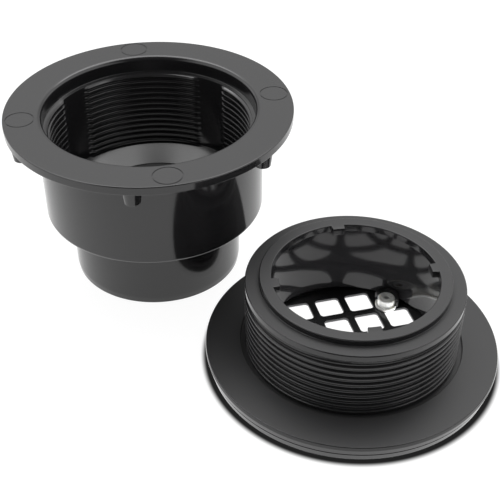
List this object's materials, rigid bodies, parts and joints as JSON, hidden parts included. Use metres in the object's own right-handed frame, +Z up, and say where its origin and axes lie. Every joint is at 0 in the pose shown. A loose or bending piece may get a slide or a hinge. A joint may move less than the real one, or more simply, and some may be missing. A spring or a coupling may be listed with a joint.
{
  "type": "shower drain",
  "caption": "Two-piece shower drain: threaded body with flange and outlet spigot, and its strainer barrel unscrewed and set down beside it.",
  "frame": {"origin": "on the axis of the drain body, at the open end of its outlet spigot", "axes": "+Z up along the axis of the drain body, towards its flange; the unscrewed barrel stands beside it towards +X and -Y"},
  "size_m": [0.2425, 0.2239, 0.0914],
  "materials": {
    "black_abs": "moulded, satin to gloss",
    "black_strainer": "smooth gloss",
    "natural_nylon": "natural, moulded",
    "stainless": "plain stainless"
  },
  "bodies": {
    "root": {"drain_body": "black_abs", "strainer_barrel": "black_abs", "strainer": "black_strainer", "screw_anchor_1": "natural_nylon", "screw_anchor_2": "natural_nylon", "strainer_screw_1": "stainless", "strainer_screw_2": "stainless"}
  },
  "joints": []
}
